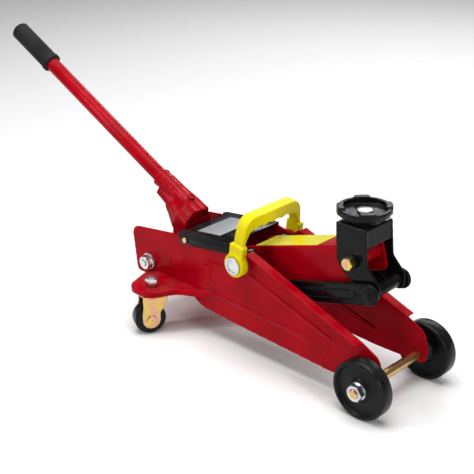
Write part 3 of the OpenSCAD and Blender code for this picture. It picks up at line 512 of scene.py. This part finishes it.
def relax(piece, skin, rounds=6):
    """Rebuilds the piece as an even skin and rounds every edge and inner corner."""
    apply_modifier(piece, "REMESH", mode="VOXEL", voxel_size=skin, adaptivity=0)
    apply_modifier(piece, "SMOOTH", factor=0.5, iterations=rounds)


def hand_over(piece, node, angle=40):
    """Gives the piece the finish and body of a CAD node, and lets it stand for that node."""
    take(piece)
    bpy.ops.object.shade_smooth_by_angle(angle=math.radians(angle))
    slot = NODE_SLOTS[node]
    piece.data.materials.clear()
    piece.data.materials.append(FINISHES[slot])
    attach(piece, NODE_BODIES[node])
    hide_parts(node)
    print(piece.name, len(piece.data.polygons), "faces")


print("finishing tools ready")

# %% [markdown]
# New pieces start as a line, drawn by pulling one vertex from point to point, as a scriber marks out
# sheet metal. An outline is filled and pulled out into a solid, and a profile is spun about an axis,
# as on a lathe. Both keep only the points that the shape needs, which a list of faces would not.

# %% Helpers to draw, pull and spin
MERGE_DISTANCE = 0.002 * MM
SAME_POINT = 1e-4 * MM


def rounded(corners, steps=6):
    """Outline through (x, y, radius) corners, each rounded by its radius."""
    outline = []
    for i, (x, y, radius) in enumerate(corners):
        corner = Vector((x, y))
        before = Vector(corners[i - 1][:2]) - corner
        after = Vector(corners[(i + 1) % len(corners)][:2]) - corner
        half = before.angle(after) / 2
        before.normalize()
        after.normalize()
        reach = radius / math.tan(half)
        centre = corner + (before + after).normalized() * radius / math.sin(half)
        first = corner + before * reach - centre
        turn = first.angle_signed(corner + after * reach - centre)
        for step in range(steps + 1):
            outline.append(centre + Matrix.Rotation(-turn * step / steps, 2) @ first)
    return outline


def draw_line(name, points):
    """Pulls one vertex from point to point, and leaves the piece in edit mode."""
    bpy.ops.object.select_all(action="DESELECT")
    bpy.ops.mesh.primitive_plane_add(size=MM, location=(0, 0, 0))
    piece = bpy.context.object
    piece.name = name
    bpy.ops.object.mode_set(mode="EDIT")
    bpy.ops.mesh.select_mode(type="VERT")
    bpy.ops.mesh.select_all(action="SELECT")
    bpy.ops.mesh.merge(type="CENTER")
    bpy.ops.transform.translate(value=points[0])
    for here, there in zip(points, points[1:]):
        bpy.ops.mesh.extrude_vertices_move(TRANSFORM_OT_translate={"value": there - here})
    return piece


def clean_up():
    """Merges doubled vertices, turns every face outwards and leaves edit mode."""
    bpy.ops.mesh.select_all(action="SELECT")
    bpy.ops.mesh.remove_doubles(threshold=MERGE_DISTANCE)
    bpy.ops.mesh.normals_make_consistent(inside=False)
    bpy.ops.object.mode_set(mode="OBJECT")


def pulled(name, outline, depth):
    """Fills a drawn outline and pulls it out by depth into a solid."""
    piece = draw_line(name, outline)
    drawn = bmesh.from_edit_mesh(piece.data)
    bpy.ops.mesh.select_all(action="DESELECT")
    for vertex in drawn.verts:
        vertex.select_set(any((vertex.co - end).length < SAME_POINT
                              for end in (outline[0], outline[-1])))
    bmesh.update_edit_mesh(piece.data)
    bpy.ops.mesh.edge_face_add()
    bpy.ops.mesh.select_all(action="SELECT")
    bpy.ops.mesh.edge_face_add()
    bpy.ops.mesh.extrude_region_move(TRANSFORM_OT_translate={"value": depth})
    clean_up()
    return piece


def turned(name, place, direction, profile, steps=48):
    """Spins a profile of (distance along, radius) points in millimetres about an axis."""
    side = direction.orthogonal().normalized()
    piece = draw_line(name, [place + (direction * along + side * radius) * MM
                             for along, radius in profile])
    bpy.ops.mesh.select_all(action="SELECT")
    bpy.ops.mesh.spin(steps=steps, angle=math.tau, center=place, axis=direction)
    clean_up()
    return piece


print("drawing tools ready")

# %% [markdown]
# Solids are then joined, or one is taken out of another. A real thread is a helix, but at this size
# only its even ridges are seen, so a threaded length is a row of grooves in a spun profile.

# %% Helpers to join, cut and thread
def box_of(name, place, tilt, size):
    """Box with its middle at place, turned by the tilt matrix."""
    bpy.ops.object.select_all(action="DESELECT")
    bpy.ops.mesh.primitive_cube_add(size=1, location=place, rotation=tilt.to_euler(), scale=size)
    bpy.context.object.name = name
    bpy.ops.object.transform_apply(location=True, rotation=True, scale=True)
    return bpy.context.object


def combine(name, pieces):
    """Joins pieces into the first one and names it."""
    bpy.ops.object.select_all(action="DESELECT")
    for piece in pieces:
        piece.select_set(True)
    bpy.context.view_layer.objects.active = pieces[0]
    bpy.ops.object.join()
    pieces[0].name = name
    return pieces[0]


def cut(piece, tool, operation="DIFFERENCE"):
    """Takes the tool's solid out of the piece, or keeps only what they share."""
    apply_modifier(piece, "BOOLEAN", operation=operation, object=tool, solver="MANIFOLD")
    bpy.data.objects.remove(tool, do_unlink=True)


def thread(start, end, radius, pitch=0.9, depth=0.45):
    """Profile points of a threaded length from start to end, in millimetres."""
    count = int((end - start) / pitch)
    step = (end - start) / count
    points = []
    for turn in range(count):
        at = start + step * turn
        points += [(at, radius - depth), (at + step / 2, radius)]
    return points + [(end, radius - depth)]


print("joining tools ready")

# %% [markdown]
# ## Crisp parts
#
# Pins, nuts, washers, tubes, the cover, the grip and the small wheels of the casters have true sizes
# and bores in the frame already, so they are copied and not modelled anew. On a real one every edge
# is slightly broken by tumbling or by the mould. A narrow chamfer does the same, and each edge then
# catches a thin line of light.

# %% Crisp turned parts and fasteners
CRISP = ["axle_washers", "axle_nuts", "lift_shaft", "shaft_spacers", "shaft_nuts", "tie_rod_nuts",
         "cover_plate", "cover_label", "cover_screws", "cylinder_tube", "reservoir_tube",
         "gland_nut", "filler_plug", "valve_plugs", "socket_pivot_pin", "link_studs",
         "rear_circlips", "caster_bolts", "caster_races", "caster_nuts", "caster_axle_right",
         "caster_axle_left", "caster_wheel_right", "caster_wheel_left", "arm_sleeves",
         "thrust_pin", "arm_bolt", "arm_bolt_washers", "arm_bolt_nut", "link_pin", "spacer_tube",
         "front_circlips", "saddle_pin", "ram", "pump_plunger", "release_valve",
         "socket_cam_pin", "handle_tube", "handle_grip"]
for node in CRISP:
    piece = copy_of(node)
    chamfer(piece)
    hand_over(piece, node)

# %% [markdown]
# ## Soft parts
#
# The arm, the links, the bracket and the casters' forks are pressed, the pump block and the saddle
# are cast, and the carrying handle is moulded. The number beside each part is the size of its skin's
# mesh in millimetres, smaller where its detail is finer. Relaxing closes a bore a little, and the
# saddle turns on its pin, so its bore is cut clear again.

# %% Soft pressed, cast and moulded parts
SADDLE_BORE_RADIUS = 6.3
SADDLE_BORE_DEPTH = 16

SOFT = {"pump_block": 1.0, "lift_arm": 0.9, "link_right": 0.8, "link_left": 0.8,
        "saddle_bracket": 0.8, "saddle_cup": 0.6, "caster_fork_right": 0.6,
        "caster_fork_left": 0.6, "carry_handle": 1.0}
for node, skin in SOFT.items():
    piece = copy_of(node)
    relax(piece, skin * MM)
    if node == "saddle_cup":
        foot = Vector((saddle.x, saddle.y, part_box(node)[0].z - 2 * MM))
        cut(piece, turned("saddle_bore", foot, Vector((0, 0, 1)), [
            (0, 0), (0, SADDLE_BORE_RADIUS), (SADDLE_BORE_DEPTH, SADDLE_BORE_RADIUS),
            (SADDLE_BORE_DEPTH, 0)]))
    hand_over(piece, node, angle=60)

# %% [markdown]
# ## Side plates
#
# Each plate is pressed from one sheet. Besides its long ribs it has a shallow wedge-shaped field
# that ends in a rounded nose, two short dashes above the ear, and a wide soft bend where the ear
# leaves the plate. The field and the dashes are drawn as thin solids on the frame's plate, which is
# then rebuilt as one skin, so that each pressing rises softly out of the sheet. On the inner side the
# field shows as a shallow pocket. Points are in millimetres from the lift shaft, so the same outlines
# serve both plates.

# %% Pressed side plates
FIELD = rounded([(-52, -21, 3), (40, -16.5, 8), (151, -66, 12), (142, -78, 8), (-20, -52, 10),
                 (-56, -42, 8)])
DASHES = [rounded([(-134, -33, 1), (-132.6, -31.6, 1), (-128, -36.4, 1), (-129.4, -37.8, 1)]),
          rounded([(-109, -27, 1), (-108, -25.6, 1), (-101, -31.4, 1), (-102, -32.8, 1)])]
FIELD_HEIGHT = 0.55
DASH_HEIGHT = 0.9
POCKET_DEPTH = 1.4
SUNK = 0.5
POCKET_RUN_OUT = 3.6

sheet_out = min(abs(v.co.y) for v in frame["nodes"]["tie_rod_nuts"].data.vertices)
sheet_in = min(abs(v.co.y) for v in frame["nodes"]["side_plate_right"].data.vertices)


def on_plate(name, side, outline, from_y, thickness):
    """Solid over an outline around the lift shaft, from a distance off the middle plane outwards."""
    points = [Vector((shaft.x + x * MM, side * from_y, shaft.z + z * MM)) for x, z in outline]
    return pulled(name, points, Vector((0, side * thickness * MM, 0)))


for node, side in (("side_plate_right", -1), ("side_plate_left", 1)):
    plate = copy_of(node)
    start = sheet_out - SUNK * MM
    raised = [on_plate("pressing", side, FIELD, start, SUNK + FIELD_HEIGHT)]
    raised += [on_plate("pressing", side, dash, start, SUNK + DASH_HEIGHT) for dash in DASHES]
    pocket = on_plate("pocket", side, FIELD, sheet_in - POCKET_RUN_OUT * MM,
                      POCKET_RUN_OUT + POCKET_DEPTH)
    plate = combine(node + "_pressed", [plate] + raised)
    relax(plate, 1.0 * MM, rounds=4)
    cut(plate, pocket)
    apply_modifier(plate, "SMOOTH", factor=0.5, iterations=2)
    hand_over(plate, node, angle=60)

# %% [markdown]
# ## Handle socket
#
# The socket is a stamped U that narrows in plan until it wraps the tube, with two long ridges on
# its back, a collar at the tube's mouth, a small boss for the set screw and a tab below that ties
# the walls together. Its frame is tilted with the handle, so it is drawn along the handle's own
# direction.

# %% The socket's own directions
SOCKET_RISE = 34
ACROSS_JACK = Vector((0, 1, 0))

pull = next(j for j in frame["record"]["behaviour"]["joints"] if j["name"] == "handle_pull")
back = Vector(pull["axis"]).normalized()
tilt = Matrix((-back, ACROSS_JACK, (-back).cross(ACROSS_JACK))).transposed()
upright = tilt @ Vector((0, 0, 1))


def at_socket(x, y, z):
    """Point in the handle's tilted frame, in millimetres from the socket's pivot."""
    return pivot + tilt @ Vector((x, y, z)) * MM


print("the handle leans", math.degrees(math.asin(back.z)), "degrees")

# %% [markdown]
# The real walls are one sheet folded round a former. Bending a flat mesh the same way would leave
# every edge to be placed by eye, so each wall is instead what two solids share: the strip that it
# makes seen from above, pulled upwards, and its outline seen from the side, pulled across.

# %% Walls of the socket
WALL_STRIP = [(12, 24.4), (-18, 22.6), (-38, 15.4), (-62, 10.6), (-62, 7.8), (-39, 12.5),
              (-19, 19.6), (12, 21.6)]
WALL_SIDE = rounded([(-61, 32, 2), (-56, 26, 6), (-45, 13, 6), (-15, 5.5, 4), (-11.3, -3, 4),
                     (-5, -9.5, 5), (3, -13, 8), (11.5, -6, 7), (11, 6, 4), (1, 28, 4)])
WALL_FOOT = -14
WALL_HEIGHT = 44
BEYOND = 30

walls = []
for side in (-1, 1):
    strip = [at_socket(x, side * y, WALL_FOOT) for x, y in WALL_STRIP]
    wall = pulled("socket_wall", strip, tilt @ Vector((0, 0, WALL_HEIGHT)) * MM)
    outline = [at_socket(x, -BEYOND, z) for x, z in WALL_SIDE]
    cut(wall, pulled("socket_profile", outline, ACROSS_JACK * 2 * BEYOND * MM), "INTERSECT")
    walls.append(wall)
print(len(walls), "walls")

# %% [markdown]
# The back of the U lies over the tube and narrows towards the handle's end. It is drawn once, as
# seen along the handle, and pulled back in three steps that each narrow it, so that its two ridges
# and the valley between them run on unbroken.

# %% Back of the socket
HALF_BACK = [(23.9, 20), (22.9, 27), (17.5, 36), (14.6, 43), (10.5, 46.6), (6.5, 45.6), (3, 42.6)]
HALF_INSIDE = [(21, 20), (20, 25), (14.5, 33), (11.5, 40)]
NARROWING = ((18, 0.95), (20, 0.74), (30, 0.84))

section = HALF_BACK + [(-y, z) for y, z in reversed(HALF_BACK)]
section += [(-y, z) for y, z in HALF_INSIDE] + HALF_INSIDE[::-1]
hood = draw_line("socket_hood", [at_socket(0, y, z) for y, z in section + section[:1]])
bpy.ops.mesh.select_all(action="SELECT")
bpy.ops.mesh.remove_doubles(threshold=MERGE_DISTANCE)
bpy.ops.mesh.edge_face_add()
for reach, narrow in NARROWING:
    bpy.ops.mesh.extrude_region_move(TRANSFORM_OT_translate={"value": back * reach * MM})
    bpy.ops.transform.resize(value=(1, narrow, 1), center_override=(0, 0, 0))
clean_up()
print(hood.name, len(hood.data.polygons), "faces")

# %% [markdown]
# The tube with its flared mouth and the hollow boss are spun, and the tab is a box. All the solids
# become one skin, and the pivot's hole is bored through it last.

# %% Tube, boss and tab of the socket
SCREW_AT = -22
PIVOT_HOLE_RADIUS = 5.1

tube = turned("socket_tube", at_socket(0, 0, SOCKET_RISE), back, [
    (-1, 10.3), (-1, 12), (0, 12.4), (74, 12.4), (76, 12.9), (78.6, 13.3), (80, 12.8), (80, 10.6),
    (78.5, 10.3), (-1, 10.3)])
boss = turned("socket_boss", at_socket(SCREW_AT, 0, SOCKET_RISE + 9), upright, [
    (0, 3), (0, 5.4), (4.6, 4.7), (7.0, 4.5), (7.6, 4.0), (7.6, 2.9), (0, 2.9)], 24)
tab = box_of("socket_tab", at_socket(-1, 0, SOCKET_RISE - 14), tilt, (6 * MM, 42 * MM, 10 * MM))
socket = combine("handle_socket_stamped", walls + [hood, tube, boss, tab])
relax(socket, 0.6 * MM, rounds=4)
cut(socket, turned("hole", pivot - ACROSS_JACK * BEYOND * MM, ACROSS_JACK, [
    (0, 0), (0, PIVOT_HOLE_RADIUS), (2 * BEYOND, PIVOT_HOLE_RADIUS), (2 * BEYOND, 0)]))
hand_over(socket, "handle_socket", angle=50)

# %% [markdown]
# The set screw that holds the handle's tube sits a little below the boss's rim, with a small hole in
# its end for the key. It is spun in one go with its thread, and isn't joined to the socket, because
# it is plated and the socket is painted.

# %% Set screw
screw_profile = [(0, 0), (0, 2.6)] + thread(0.4, 3.6, 2.85, 0.8, 0.3)
screw_profile += [(4, 2.4), (4, 1.2), (2.5, 1.2), (2.5, 0)]
grub = turned("socket_grub_screw", at_socket(SCREW_AT, 0, SOCKET_RISE + 10.3), upright,
              screw_profile, 24)
hand_over(grub, "socket_bolt", angle=30)

# %% [markdown]
# ## Front wheels
#
# Each wheel is cast with a hub that reaches in to the side plate, a thin web, a raised rim and a
# broad tread with rounded edges. Stacked cylinders would leave hard steps between these, so the whole
# wheel is one spun profile. Its bore, its outer radius and its ends are measured on the frame's
# wheel. A small drain hole goes into the tread of each.

# %% Front wheels
RIM_DEPTH = 6
DRAIN_WAY = Vector((0.83, 0, 0.56)).normalized()
DRAIN_RADIUS = 1.6

for node, side in (("front_wheel_right", -1), ("front_wheel_left", 1)):
    low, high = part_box(node)
    rim = (high.z - low.z) / 2 / MM
    points = [(abs(v.co.y) / MM, math.hypot(v.co.x - axle.x, v.co.z - axle.z) / MM)
              for v in frame["nodes"][node].data.vertices]
    start, end = min(y for y, r in points), max(y for y, r in points)
    tread = min(y for y, r in points if r > rim - RIM_DEPTH)
    hub = min(r for y, r in points)
    wheel = turned(node + "_cast", Vector((axle.x, 0, axle.z)), Vector((0, side, 0)), [
        (start, hub), (start, hub + 2.6), (start + 0.5, hub + 3), (tread - 0.5, hub + 6.6),
        (tread, hub + 7.4), (tread + 1, hub + 8), (tread + 3, hub + 8.6), (tread + 3, rim - 6.4),
        (tread + 0.4, rim - 5.4), (tread, rim - 4.8), (tread, rim - 2.6), (tread + 0.6, rim - 1),
        (tread + 2.2, rim), (end - 2.2, rim), (end - 0.6, rim - 1), (end, rim - 2.6),
        (end, rim - 4.4), (end - 0.5, rim - 5), (end - 3.2, rim - 5.8), (end - 4, rim - 6.6),
        (end - 4, hub + 9.4), (end - 3.6, hub + 8.6), (end - 2.6, hub + 7.8), (end - 2, hub + 7),
        (end - 2, hub), (start, hub)], 96)
    drain_foot = Vector((axle.x, side * (end - 7) * MM, axle.z))
    cut(wheel, turned("drain", drain_foot, DRAIN_WAY, [
        (rim - 4, 0), (rim - 4, DRAIN_RADIUS), (rim + 2, DRAIN_RADIUS), (rim + 2, 0)], 16))
    hand_over(wheel, node, angle=35)

# %% [markdown]
# ## Axle and tie rod
#
# The front axle and the rear tie rod are turned bars whose threaded ends stand out of their nuts.
# The frame's bars are plain, so they are spun anew at the same length and radius. Half of each is
# drawn, from the middle plane to its chamfered tip, and the profile is mirrored before it is spun.

# %% Axle and tie rod
TIP_CHAMFER = 1.4

for node, line, threaded in (("front_axle", axle, 14), ("rear_tie_rod", tie_rod, 12)):
    reach = half_width(node) / MM
    low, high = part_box(node)
    radius = (high.z - low.z) / 2 / MM
    half = [(0, radius), (reach - threaded, radius)]
    half += thread(reach - threaded, reach - 1, radius)
    half += [(reach, radius - TIP_CHAMFER), (reach, 0)]
    whole = [(-along, r) for along, r in reversed(half)] + half[1:]
    bar = turned(node + "_turned", Vector((line.x, 0, line.z)), Vector((0, -1, 0)), whole, 40)
    hand_over(bar, node, angle=30)

# %% [markdown]
# ## End

# %% End
print("done")
